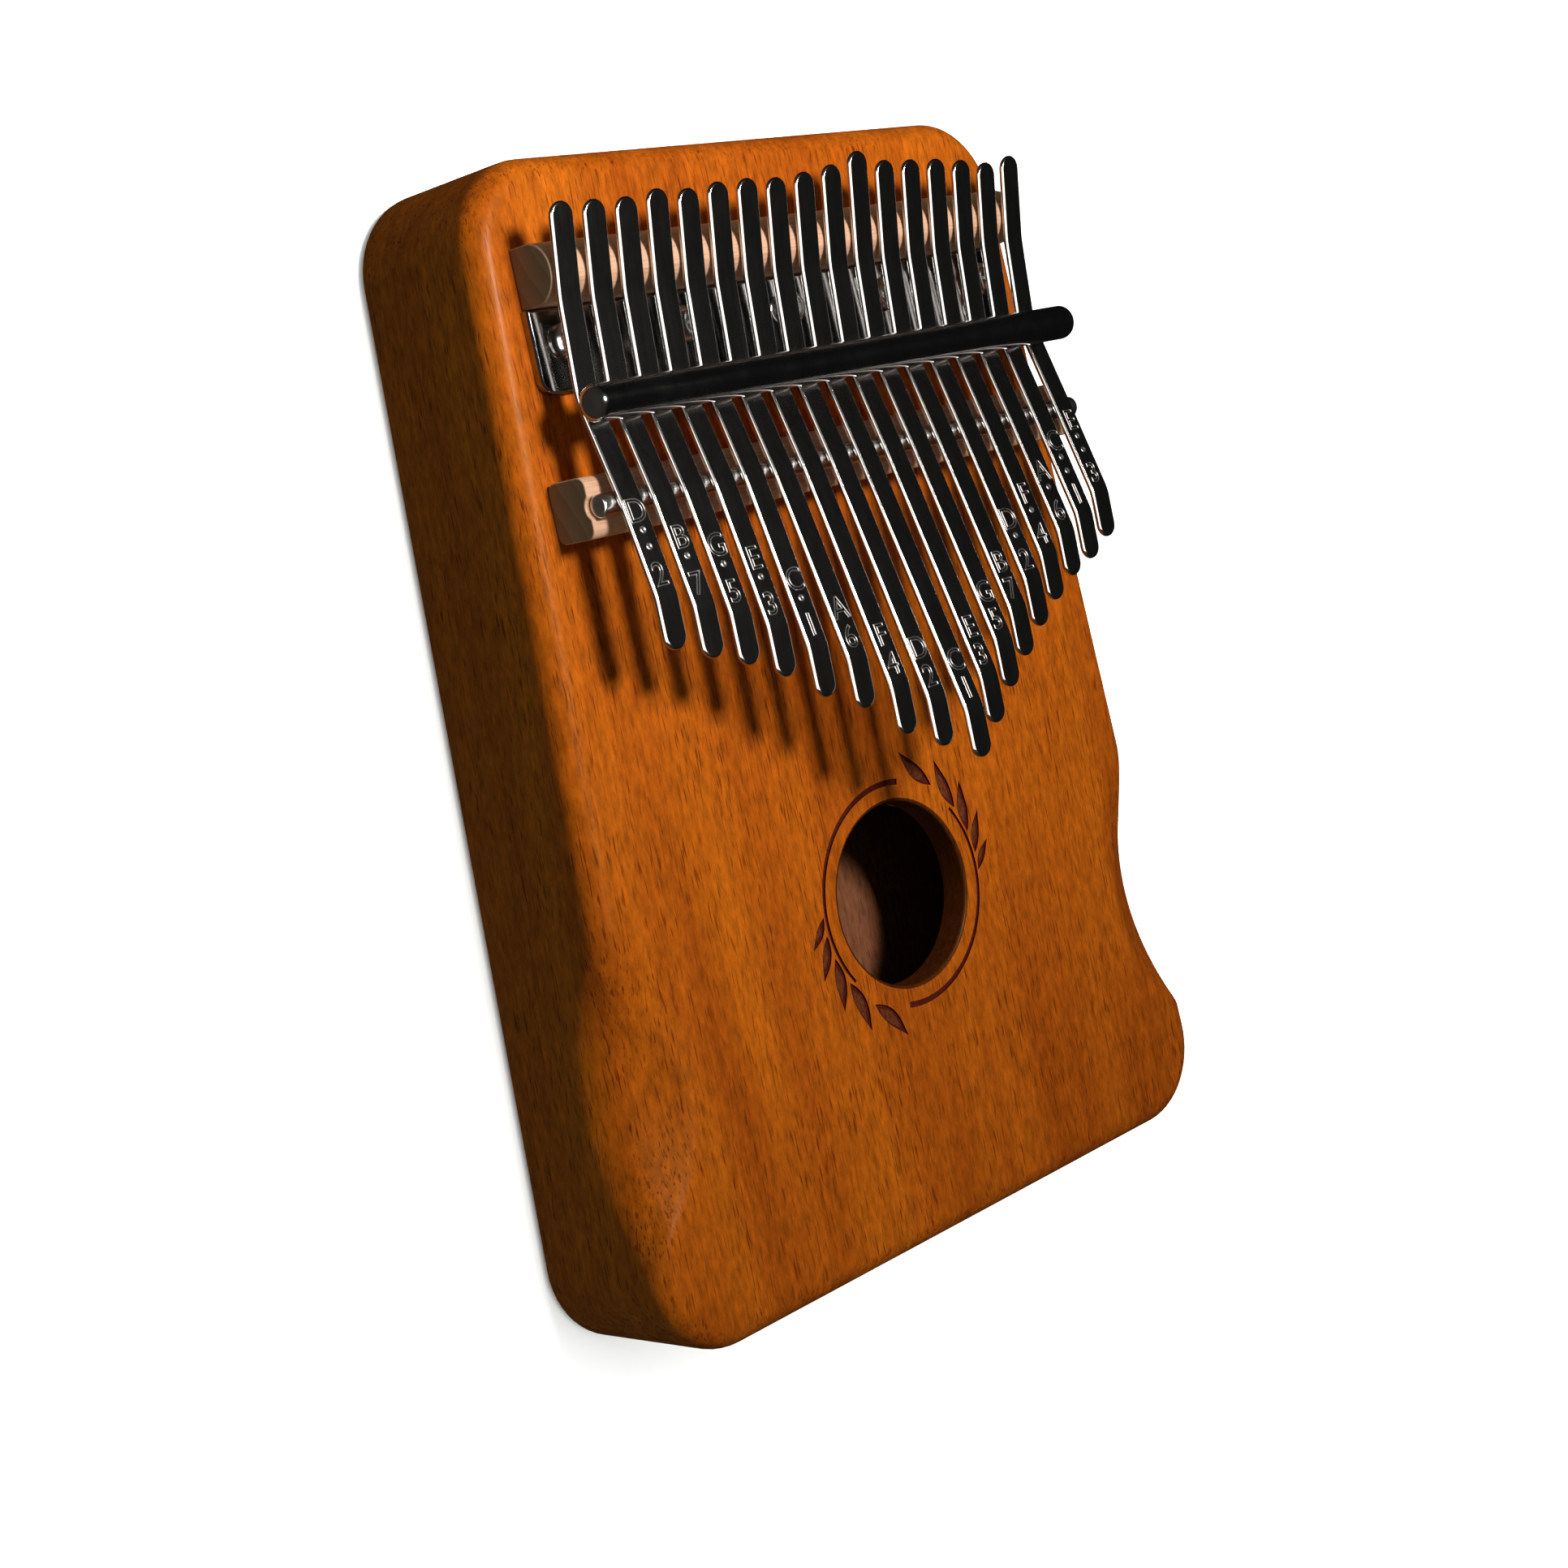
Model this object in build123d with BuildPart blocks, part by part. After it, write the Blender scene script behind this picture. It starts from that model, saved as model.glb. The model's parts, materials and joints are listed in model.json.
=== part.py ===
from build123d import *
import math
import os

# Seventeen-key thumb piano (kalimba).  It lies on its back: +Z is out of the soundboard,
# +Y is towards the head where the tines are clamped, and +X is to the player's right.
# The origin is the middle of the back.  All sizes are in millimetres.

os.makedirs("parts", exist_ok=True)

# --- Body -----------------------------------------------------------------------------
length = 185.0  # foot to head
width_foot = 138.0  # the straight sides taper from the foot ...
width_head = 119.0  # ... to the head
depth = 29.0  # back to the face of the soundboard
corner_radius = 14.3
face_round = 4.0  # rounding between the soundboard and the sides
back_round = 1.5
soundboard = 5.0  # thickness left over the chamber
wall = 10.0  # thickness of the side walls of the chamber
chamber_head = 32.0  # the chamber stops here; the wood above it holds the screws
chamber_corner = 8.0
hole_radius = 15.4  # sound hole
hole_y = -34.2

# Thumb scallops: a drum with its axis tilted cuts each long front edge.
scallop_y = -50.5
scallop_radius = 48.0
scallop_tilt = 30.0  # between the cut and the soundboard
scallop_depth = 6.3  # square to the cut, at its middle
scallop_reach = 30.0
scallop_round = 6.0  # rounding between each cut and the side

# --- Back plate, set into a rebate -------------------------------------------------------
plate_thickness = 3.5
plate_land = 4.5  # body left around the plate
plate_gap = 0.1
vent_radius = 5.0  # two finger vents
vent_x = 30.0
vent_y = -20.0

# --- Tines -------------------------------------------------------------------------------
tine_pitch = 6.44
tine_width = 4.4
tine_thickness = 1.0
tip_flat = 8.0  # the last stretch runs level with the soundboard
# From the bridge rod to each tip, and from the rod back to each rear end: the maker slides
# every tine in or out until it is in tune, so neither row is quite regular.
free_lengths = [22.9, 25.5, 27.9, 31.1, 35.7, 39.0, 44.7, 48.1, 51.5,
                47.2, 42.5, 38.5, 34.6, 31.2, 28.1, 26.2, 23.3]
rear_lengths = [44.3, 44.1, 44.0, 44.7, 44.3, 44.8, 44.9, 44.6, 45.0,
                45.7, 47.4, 45.6, 45.3, 45.0, 44.4, 43.6, 44.3]
# Slope of each free stretch: the bent steel does not spring back equally.
free_slopes = [0.215, 0.215, 0.215, 0.210, 0.215, 0.240, 0.245, 0.255, 0.270,
               0.265, 0.272, 0.270, 0.270, 0.267, 0.280, 0.277, 0.280]
clamp_slope = 0.29  # between the pressure bar and the rod
rear_slope = 0.178  # over the rear bar
bend_radii = [20.0, 15.0, 15.0, 8.0]  # at the heel, the dip, the rod and the tip's bend

# --- Bridges, rod, pressure bar and bracket, across the body ----------------------------
rod_radius = 1.8
rod_y = 39.1
rod_rise = 9.45  # height of its axis over the soundboard
rod_left, rod_right = -55.8, 56.6
rod_end_round = 0.35
rod_clearance = 0.1  # tine to rod
bridge_width = 9.3
bridge_height = 8.5
bridge_half_length = 56.6
bridge_y = 39.15
bridge_round = 1.6  # rounding of its two shoulders
groove_radius = rod_radius + 0.1
rear_bar_width = 9.2
rear_bar_flank = 3.8  # height of its straight sides, below the half-round top
rear_bar_half_length = 53.9
rear_bar_y = 74.1
dip_y = 54.7  # where the pressure bar bends the tines down
heel_y = 69.5  # where the tines turn up to the rear bar
heel_rise = 8.3  # tine mid-height there, over the soundboard
bar_radius = 2.9
bar_y = 53.8
bar_left, bar_right = -55.2, 57.2
bar_end_round = 1.7
bar_clearance = 0.5  # lets a tine tip up under the bar as its tip is pressed
stud_radius = 0.8
stud_depth = 14.0
stud_gaps = [2, 6]  # gaps between tines, counted out from the middle, that hold a stud
bracket_thickness = 1.6
bracket_half_length = 54.3
bracket_front_y = 56.6
bracket_corner = 2.5
bracket_round = 0.5
screw_pitch = 24.0
screw_count = 5
screw_y = 64.1
screw_head_radius = 2.9
screw_head_height = 2.1
screw_shank_radius = 1.4
screw_length = 14.0
screw_clearance = 0.2
cross_length = 2.6  # the cross recess in each screw head
cross_width = 0.6
cross_depth = 1.2

# --- Places that follow from the sizes above ------------------------------------------------
bracket_rear_y = rear_bar_y - rear_bar_width / 2 - 0.1
rod_z = depth + rod_rise
bracket_top = depth + bracket_thickness
clamp_angle = math.atan(clamp_slope)
# Mid-line of a tine above the rod, and at the dip under the pressure bar.
crown_z = rod_z + (rod_radius + rod_clearance + tine_thickness / 2) / math.cos(clamp_angle)
dip_z = crown_z - clamp_slope * (dip_y - rod_y)
# The dip is rounded, so the lowest steel is a little over the corner point.
dip_turn = clamp_angle + math.atan((depth + heel_rise - dip_z) / (heel_y - dip_y))
dip_lift = bend_radii[1] * (1 / math.cos(dip_turn / 2) - 1)
bar_z = dip_z + dip_lift + tine_thickness / 2 + bar_clearance + bar_radius
stud_xs = [side * (gap + 0.5) * tine_pitch for gap in stud_gaps for side in (-1, 1)]
vents = [(-vent_x, vent_y), (vent_x, vent_y)]
side_angle = math.atan((width_foot - width_head) / 2 / length)


def outline(inset):
    """Plan outline of the body, drawn in from the sides by inset."""
    with BuildSketch(mode=Mode.PRIVATE) as plan:
        with BuildLine():
            Polyline(
                (-width_foot / 2, -length / 2),
                (width_foot / 2, -length / 2),
                (width_head / 2, length / 2),
                (-width_head / 2, length / 2),
                close=True,
            )
        make_face()
        fillet(plan.vertices(), corner_radius)
        if inset:
            offset(amount=-inset, mode=Mode.REPLACE)
    return plan.sketch


def scallop_plane(side):
    """Plane across the axis of the drum that cuts the scallop on one side (-1 or 1)."""
    tilt = math.radians(scallop_tilt)
    inward = Vector(-side * math.cos(side_angle), -math.sin(side_angle), 0)
    up = Vector(0, 0, 1)
    axis = inward * math.cos(tilt) + up * math.sin(tilt)
    outward = inward * -math.sin(tilt) + up * math.cos(tilt)
    half_width = width_foot / 2 - (scallop_y + length / 2) * math.tan(side_angle)
    edge = Vector(side * half_width, scallop_y, depth)
    return Plane(
        origin=edge + outward * (scallop_radius - scallop_depth),
        x_dir=outward,
        z_dir=axis,
    )


with BuildPart() as body_shell:
    add(outline(0))
    extrude(amount=depth)
    fillet(body_shell.faces().sort_by(Axis.Z)[-1].edges(), face_round)
    fillet(body_shell.faces().sort_by(Axis.Z)[0].edges(), back_round)
    for side in (-1, 1):
        with BuildSketch(scallop_plane(side)):
            Circle(scallop_radius)
        extrude(amount=scallop_reach, both=True, mode=Mode.SUBTRACT)
    scallop_rims = body_shell.edges().filter_by(GeomType.ELLIPSE).group_by(Axis.Z)[0]
    fillet(scallop_rims, scallop_round)
    # Rebate for the back plate.
    with BuildSketch():
        add(outline(plate_land))
    extrude(amount=plate_thickness, mode=Mode.SUBTRACT)
    # Sound chamber, open at the back until the plate closes it.
    with BuildSketch(Plane.XY.offset(plate_thickness)) as chamber:
        add(outline(wall))
        with Locations((0, chamber_head)):
            Rectangle(
                width_foot, length, align=(Align.CENTER, Align.MIN), mode=Mode.SUBTRACT
            )
        fillet(chamber.vertices().group_by(Axis.Y)[-1], chamber_corner)
    extrude(amount=depth - soundboard - plate_thickness, mode=Mode.SUBTRACT)
    # Sound hole.
    with Locations((0, hole_y, depth)):
        Hole(hole_radius, depth=soundboard)
    # Blind holes for the bracket screws and the pressure bar's studs.
    with Locations((0, screw_y, depth)):
        with GridLocations(screw_pitch, 1, screw_count, 1):
            Hole(screw_shank_radius, depth=screw_length)
    with Locations([(x, bar_y, depth) for x in stud_xs]):
        Hole(stud_radius, depth=stud_depth)
body_shell.part.label = "body_shell"
export_step(body_shell.part, "parts/body_shell.step")


with BuildPart() as back_plate:
    add(outline(plate_land + plate_gap))
    extrude(amount=plate_thickness)
    with Locations([(x, y, 0) for x, y in vents]):
        Hole(vent_radius)
back_plate.part.label = "back_plate"
export_step(back_plate.part, "parts/back_plate.step")


# Rear bar: straight flanks and a half-round top that the tines lie across.
with BuildPart() as rear_bar:
    with BuildSketch(Plane.YZ.offset(-rear_bar_half_length)):
        with Locations((rear_bar_y, depth)):
            Rectangle(rear_bar_width, rear_bar_flank, align=(Align.CENTER, Align.MIN))
        with Locations((rear_bar_y, depth + rear_bar_flank)):
            Circle(rear_bar_width / 2)
        with Locations((rear_bar_y, depth)):
            Rectangle(
                rear_bar_width, length, align=(Align.CENTER, Align.MAX), mode=Mode.SUBTRACT
            )
    extrude(amount=2 * rear_bar_half_length)
rear_bar.part.label = "rear_bar"
export_step(rear_bar.part, "parts/rear_bar.step")


# Front bridge: two rounded shoulders with a groove between them for the rod.
with BuildPart() as front_bridge:
    with BuildSketch(Plane.YZ.offset(-bridge_half_length)) as profile:
        with Locations((bridge_y, depth)):
            Rectangle(bridge_width, bridge_height, align=(Align.CENTER, Align.MIN))
        fillet(profile.vertices().group_by(Axis.Z)[-1], bridge_round)
        with Locations((rod_y, rod_z)):
            Circle(groove_radius, mode=Mode.SUBTRACT)
    extrude(amount=2 * bridge_half_length)
front_bridge.part.label = "front_bridge"
export_step(front_bridge.part, "parts/front_bridge.step")


with BuildPart() as bridge_rod:
    with BuildSketch(Plane.YZ.offset(rod_left)):
        with Locations((rod_y, rod_z)):
            Circle(rod_radius)
    extrude(amount=rod_right - rod_left)
    fillet(bridge_rod.edges(), rod_end_round)
bridge_rod.part.label = "bridge_rod"
export_step(bridge_rod.part, "parts/bridge_rod.step")


# Bracket: a flat polished plate screwed down between the rear bar and the pressure bar.
with BuildPart() as bracket:
    with BuildSketch(Plane.XY.offset(depth)) as plan:
        with Locations((0, (bracket_front_y + bracket_rear_y) / 2)):
            Rectangle(2 * bracket_half_length, bracket_rear_y - bracket_front_y)
        fillet(plan.vertices().group_by(Axis.Y)[0], bracket_corner)
    extrude(amount=bracket_thickness)
    fillet(bracket.faces().sort_by(Axis.Z)[-1].edges(), bracket_round)
    with Locations((0, screw_y, bracket_top)):
        with GridLocations(screw_pitch, 1, screw_count, 1):
            Hole(screw_shank_radius + screw_clearance)
bracket.part.label = "bracket"
export_step(bracket.part, "parts/bracket.step")


# Bracket screws: a domed head with a cross recess, revolved and then repeated.
with BuildPart() as bracket_screws:
    with Locations((0, screw_y, bracket_top)):
        with GridLocations(screw_pitch, 1, screw_count, 1):
            Cylinder(
                screw_shank_radius,
                screw_length - 1,
                align=(Align.CENTER, Align.CENTER, Align.MAX),
            )
            Cylinder(
                screw_head_radius,
                screw_head_height,
                align=(Align.CENTER, Align.CENTER, Align.MIN),
            )
    rims = bracket_screws.edges().filter_by(GeomType.CIRCLE).group_by(Axis.Z)[-1]
    fillet(rims, screw_head_height * 0.8)
    with BuildSketch(Plane.XY.offset(bracket_top + screw_head_height)):
        with Locations((0, screw_y)):
            with GridLocations(screw_pitch, 1, screw_count, 1):
                Rectangle(cross_length, cross_width)
                Rectangle(cross_width, cross_length)
    extrude(amount=-cross_depth, mode=Mode.SUBTRACT)
bracket_screws.part.label = "bracket_screws"
export_step(bracket_screws.part, "parts/bracket_screws.step")


# Pressure bar: a round bar with rounded ends, drilled from below for its studs.
with BuildPart() as pressure_bar:
    with BuildSketch(Plane.YZ.offset(bar_left)):
        with Locations((bar_y, bar_z)):
            Circle(bar_radius)
    extrude(amount=bar_right - bar_left)
    fillet(pressure_bar.edges(), bar_end_round)
    with BuildSketch(Plane.XY.offset(bar_z - bar_radius - 1)):
        with Locations([(x, bar_y) for x in stud_xs]):
            Circle(stud_radius)
    extrude(amount=bar_radius + 2, mode=Mode.SUBTRACT)
pressure_bar.part.label = "pressure_bar"
export_step(pressure_bar.part, "parts/pressure_bar.step")


# Studs: thin pins in the gaps between tines that hold the pressure bar down.
with BuildPart() as pressure_studs:
    with BuildSketch(Plane.XY.offset(depth - stud_depth + 1)):
        with Locations([(x, bar_y) for x in stud_xs]):
            Circle(stud_radius)
    extrude(amount=bar_z + 0.5 - (depth - stud_depth + 1))
pressure_studs.part.label = "pressure_studs"
export_step(pressure_studs.part, "parts/pressure_studs.step")


def make_tine(number):
    """One spring-steel tine: a bent strip with round ends, from rear end to tip."""
    place = number - 1
    x = (place - (len(free_lengths) - 1) / 2) * tine_pitch
    tip_y = rod_y - free_lengths[place]
    rear_y = rod_y + rear_lengths[place]
    bend_y = tip_y + tip_flat
    heel_z = depth + heel_rise
    tip_z = crown_z + free_slopes[place] * (rod_y - bend_y)
    with BuildPart() as tine:
        with BuildSketch(Plane.YZ.offset(x - tine_width / 2)):
            with BuildLine() as side_view:
                FilletPolyline(
                    (rear_y, heel_z + rear_slope * (rear_y - heel_y)),
                    (heel_y, heel_z),
                    (dip_y, dip_z),
                    (rod_y, crown_z),
                    (bend_y, tip_z),
                    (tip_y, tip_z),
                    radius=bend_radii,
                )
            trace(side_view.line, line_width=tine_thickness)
        extrude(amount=tine_width)
        with BuildSketch(Plane.XY.offset(depth)):
            with Locations((x, (tip_y + rear_y) / 2)):
                SlotOverall(rear_y - tip_y, tine_width, rotation=90)
        extrude(amount=depth, mode=Mode.INTERSECT)
    return tine.part


for number in range(1, len(free_lengths) + 1):
    tine_part = make_tine(number)
    tine_part.label = f"tine_{number:02d}"
    export_step(tine_part, f"parts/tine_{number:02d}.step")
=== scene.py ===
import json
import math

import bmesh
import bpy
import numpy as np
from mathutils import Matrix, Vector
from mathutils.bvhtree import BVHTree

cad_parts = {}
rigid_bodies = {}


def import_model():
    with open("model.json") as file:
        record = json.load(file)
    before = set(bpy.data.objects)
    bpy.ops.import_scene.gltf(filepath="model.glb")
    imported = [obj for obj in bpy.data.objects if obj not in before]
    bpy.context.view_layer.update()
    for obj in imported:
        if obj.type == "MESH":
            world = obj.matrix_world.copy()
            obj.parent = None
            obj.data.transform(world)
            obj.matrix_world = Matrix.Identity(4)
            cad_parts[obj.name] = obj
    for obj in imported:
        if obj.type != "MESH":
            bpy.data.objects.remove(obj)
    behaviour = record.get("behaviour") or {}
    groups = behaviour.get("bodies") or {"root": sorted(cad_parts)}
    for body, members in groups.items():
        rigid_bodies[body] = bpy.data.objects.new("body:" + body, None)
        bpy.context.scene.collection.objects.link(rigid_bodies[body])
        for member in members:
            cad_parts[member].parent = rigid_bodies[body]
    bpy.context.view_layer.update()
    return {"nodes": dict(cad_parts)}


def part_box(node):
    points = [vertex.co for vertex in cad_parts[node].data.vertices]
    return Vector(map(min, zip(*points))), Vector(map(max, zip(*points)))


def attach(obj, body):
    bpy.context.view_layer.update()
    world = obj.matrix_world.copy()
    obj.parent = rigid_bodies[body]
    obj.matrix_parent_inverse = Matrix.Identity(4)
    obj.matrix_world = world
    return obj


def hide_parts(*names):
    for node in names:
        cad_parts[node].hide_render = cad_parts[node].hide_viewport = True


# A seventeen-key thumb piano on its back: +Z is out of the soundboard, +Y towards the head.
# Metres throughout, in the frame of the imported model.

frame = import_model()
nodes = frame["nodes"]

MM = 0.001

# --- Body: its box comes from the frame, and the shapes inside it repeat the design --------------
body_low, body_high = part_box("body_shell")
length = body_high.y - body_low.y
width_foot = 138.0 * MM
width_head = 119.0 * MM
depth = body_high.z
corner_radius = 14.3 * MM
face_round = 4.0 * MM
back_round = 1.5 * MM
soundboard = 5.0 * MM
wall = 10.0 * MM
chamber_head = 32.0 * MM
chamber_corner = 8.0 * MM
hole_radius = 15.4 * MM
hole_y = -34.2 * MM
hole_lip = 0.6 * MM
plate_low, plate_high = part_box("back_plate")
plate_land = 4.5 * MM
plate_gap = 0.1 * MM
plate_edge = 0.35 * MM
vent_radius = 5.0 * MM
vent_edge = 0.5 * MM
vent_x = 30.0 * MM
vent_y = -20.0 * MM

# Thumb scallops: a drum with a tilted axis cuts each long front edge.
scallop_y = -50.5 * MM
scallop_radius = 48.0 * MM
scallop_tilt = math.radians(30.0)
scallop_depth = 6.3 * MM
crease_sharp = 0.6 * MM  # how far the crease is eased at the foot end of a scallop ...
crease_soft = 3.2 * MM  # ... and at its head end, where the cut fades into the soundboard
crease_fades = (-52.0 * MM, -34.0 * MM)

side_slope = (width_foot - width_head) / 2 / length
side_angle = math.atan(side_slope)

# The body's materials, in the order of their slots.
body_surfaces = ("lacquer", "bare", "burnt_line", "burnt_fill", "hole_shade")
slot_of = body_surfaces.index

# How finely the body's skin is drawn. Each section is found by probing outwards from a pivot.
close_end = -8.0 * MM  # sections up a side are close together below this place
close_sections = 68
wide_sections = 10
corner_sections = 15
section_points = 58
turn_weight = 8.0 * MM  # length that a radian of turning counts for when points are placed
pivot_inset = 12.5 * MM
pivot_height = 12.0 * MM
pivot_shift = 7.0 * MM  # further in along a scallop ...
shift_starts = (-76.0 * MM, -62.0 * MM)  # ... coming in over this stretch
shift_ends = (-16.0 * MM, 0.0)  # ... and going out over this one
probe_count = 361
probe_reach = 45.0 * MM
probe_halvings = 34
overshoot = 1.0 * MM  # how far a cutter passes through the face it opens

# --- Engraving round the sound hole --------------------------------------------------------------
engraved = 0.35 * MM
ring_radius = 18.7 * MM
ring_widths = (1.0 * MM, 0.55 * MM)  # at its open end and where it meets a sprig
ring_arc = (78.0, 216.0)  # degrees; the other arc is the same turned half round
sprig_angles = (53.0, 33.0, 18.0, 6.0, -3.0)  # where each leaf leaves the ring
sprig_leans = (12.0, 16.0, 20.0, 27.0, 36.0)  # from the ring's tangent, outwards
sprig_lengths = (9.5 * MM, 9.5 * MM, 9.0 * MM, 7.5 * MM, 6.0 * MM)
sprig_starts = (1.1 * MM, 1.0 * MM, 0.9 * MM, 0.8 * MM, 0.6 * MM)  # leaf base, out from the ring
leaf_slimness = 0.27  # width over length
leaf_bend = 0.04  # sideways bow over length
leaf_belly = 0.85  # below 1, the widest place is nearer the base
leaf_taper = 1.1  # above 1, the tips are finer
leaf_border = 0.42 * MM  # darker rim inside the outline
leaf_inset = 2.4  # borders from each tip to the lighter middle
leaf_steps = 12
ring_steps = 60

# --- Tines ---------------------------------------------------------------------------------------
tine_names = sorted(name for name in nodes if name.startswith("tine_"))
tip_flat = 8.0 * MM
tine_edge = 0.45 * MM
weld_reach = 0.001 * MM
flat_limit = 0.1  # degrees; at 1.0 the merged faces of one tine touched the rod
# Note, octave dots and number of each tine from left to right.
tine_marks = ["D..2", "B.7", "G.5", "E.3", "C.1", "A6", "F4", "D2", "C1",
              "E3", "G5", "B7", "D.2", "F.4", "A.6", "C..1", "E..3"]
glyph_height = 3.8 * MM
glyph_gap = 1.0 * MM
glyph_ridge = 0.09 * MM  # radius of the raised line round each glyph
capital_share = 0.73  # height of a capital over the font's size
dot_pitch = 2.6 * MM
dot_radius = 0.6 * MM
mark_start = 1.7 * MM  # from the bend of the tine to its first glyph
mark_relief = 0.12 * MM
mark_probes = (3.0 * MM, 10.0 * MM)  # places past the bend that give the tine's slope


# --- Mesh helpers --------------------------------------------------------------------------------
def new_object(name, mesh):
    """Object holding this data, linked to the scene."""
    made = bpy.data.objects.new(name, mesh)
    bpy.context.scene.collection.objects.link(made)
    return made


def mesh_from(name, points, faces, indices=None):
    """Mesh object from points and faces, with an optional material index for each face."""
    mesh = bpy.data.meshes.new(name)
    mesh.from_pydata([tuple(p) for p in points], [], [tuple(f) for f in faces])
    if indices is not None:
        mesh.polygons.foreach_set("material_index", indices)
    mesh.update()
    return new_object(name, mesh)


def discard(thing):
    """Removes an object and its mesh."""
    mesh = thing.data
    bpy.data.objects.remove(thing)
    bpy.data.meshes.remove(mesh)


def bake_modifiers(thing):
    """Replaces a piece's mesh by the result of its modifiers."""
    graph = bpy.context.evaluated_depsgraph_get()
    graph.update()
    mesh = bpy.data.meshes.new_from_object(thing.evaluated_get(graph))
    old = thing.data
    thing.modifiers.clear()
    thing.data = mesh
    mesh.name = thing.name
    bpy.data.meshes.remove(old)


def subtract(thing, *cutters):
    """Cuts solids out of a piece. New faces keep their cutter's material index."""
    for cutter in cutters:
        cut = thing.modifiers.new("cut", "BOOLEAN")
        cut.operation = "DIFFERENCE"
        cut.solver = "EXACT"
        cut.object = cutter
    bake_modifiers(thing)
    for cutter in cutters:
        discard(cutter)


def shade(thing, angle=35.0):
    """Smooth shading, with edges sharper than the angle left crisp."""
    mesh = thing.data
    mesh.polygons.foreach_set("use_smooth", [True] * len(mesh.polygons))
    mesh.set_sharp_from_angle(angle=math.radians(angle))


def rounded_polygon(corners, radii, step=6.0):
    """Closed outline, counterclockwise, with each corner rounded. step is in degrees."""
    points = []
    count = len(corners)
    for i, radius in enumerate(radii):
        here = Vector(corners[i])
        before = (Vector(corners[i - 1]) - here).normalized()
        after = (Vector(corners[(i + 1) % count]) - here).normalized()
        inner = before.angle(after)
        turn = math.pi - inner
        centre = here + (before + after).normalized() * (radius / math.sin(inner / 2))
        first = math.atan2(-before.x, before.y) + math.pi
        parts = max(2, math.ceil(math.degrees(turn) / step))
        for part in range(parts + 1):
            angle = first + turn * part / parts
            points.append((centre.x + radius * math.cos(angle), centre.y + radius * math.sin(angle)))
    return points


def prism(name, outline, low, high, index=0):
    """Upright solid with the given outline between two heights."""
    count = len(outline)
    points = [(x, y, low) for x, y in outline] + [(x, y, high) for x, y in outline]
    faces = [tuple(range(count - 1, -1, -1)), tuple(range(count, 2 * count))]
    faces += [(i, (i + 1) % count, count + (i + 1) % count, count + i) for i in range(count)]
    return mesh_from(name, points, faces, [index] * len(faces))


def lathe(name, centre, profile, index=0, segments=96):
    """Closed solid of revolution about a vertical axis. profile is (radius, height) upwards."""
    points, faces = [], []
    turns = [2 * math.pi * k / segments for k in range(segments)]
    for radius, height in profile:
        points += [(centre[0] + radius * math.cos(t), centre[1] + radius * math.sin(t), height)
                   for t in turns]
    for row in range(len(profile) - 1):
        a, b = row * segments, (row + 1) * segments
        faces += [(a + k, a + (k + 1) % segments, b + (k + 1) % segments, b + k)
                  for k in range(segments)]
    last = (len(profile) - 1) * segments
    faces += [tuple(range(segments - 1, -1, -1)), tuple(range(last, last + segments))]
    return mesh_from(name, points, faces, [index] * len(faces))


# --- Body ----------------------------------------------------------------------------------------
def body_corners(inset, head=None):
    """Corners of the tapered plan, drawn in by inset and, if head is given, cut off there."""
    foot_y = -length / 2 + inset
    head_y = length / 2 - inset if head is None else head

    def half(y):
        return width_foot / 2 - (y + length / 2) * side_slope - inset / math.cos(side_angle)

    return [(-half(foot_y), foot_y), (half(foot_y), foot_y), (half(head_y), head_y),
            (-half(head_y), head_y)]


def body_outline(inset):
    """Plan of the body with its rounded corners, drawn in by inset."""
    return rounded_polygon(body_corners(inset), [corner_radius - inset] * 4)


def side_places():
    """Places up one straight side where it gets a section, closely spaced along the scallop."""
    centres = body_corners(corner_radius)
    first = centres[1][1] + corner_radius * math.sin(side_angle)
    last = centres[2][1] + corner_radius * math.sin(side_angle)
    close = np.linspace(first, close_end, close_sections)
    return np.concatenate([close, np.linspace(close_end, last, wide_sections)[1:]])


def body_stations():
    """Points round the plan and their outward directions, counterclockwise from the foot."""
    centres = body_corners(corner_radius)
    tilt = math.degrees(side_angle)
    sweeps = [(180 - tilt, 270), (-90, tilt), (tilt, 90), (90, 180 - tilt)]
    ys = side_places()
    half = width_foot / 2 - (ys + length / 2) * side_slope
    right = [(x, y, math.cos(side_angle), math.sin(side_angle)) for x, y in zip(half, ys)]
    left = [(-x, y, -c, s) for x, y, c, s in right]
    stations = []
    for corner, (start, end) in enumerate(sweeps):
        cx, cy = centres[corner]
        for angle in np.radians(np.linspace(start, end, corner_sections)):
            c, s = math.cos(angle), math.sin(angle)
            stations.append((cx + corner_radius * c, cy + corner_radius * s, c, s))
        if corner == 1:
            stations += right[1:-1]
    stations += left[-2:0:-1]
    return np.array(stations)


def round_max(a, b, radius):
    """Larger of two distances, with the edge where they meet rounded."""
    near = np.hypot(np.maximum(a + radius, 0), np.maximum(b + radius, 0)) - radius
    return np.where((a > -radius) & (b > -radius), near, np.maximum(a, b))


def ease(value, start, end):
    """Rises smoothly from 0 at start to 1 at end."""
    t = np.clip((value - start) / (end - start), 0, 1)
    return t * t * (3 - 2 * t)


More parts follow.
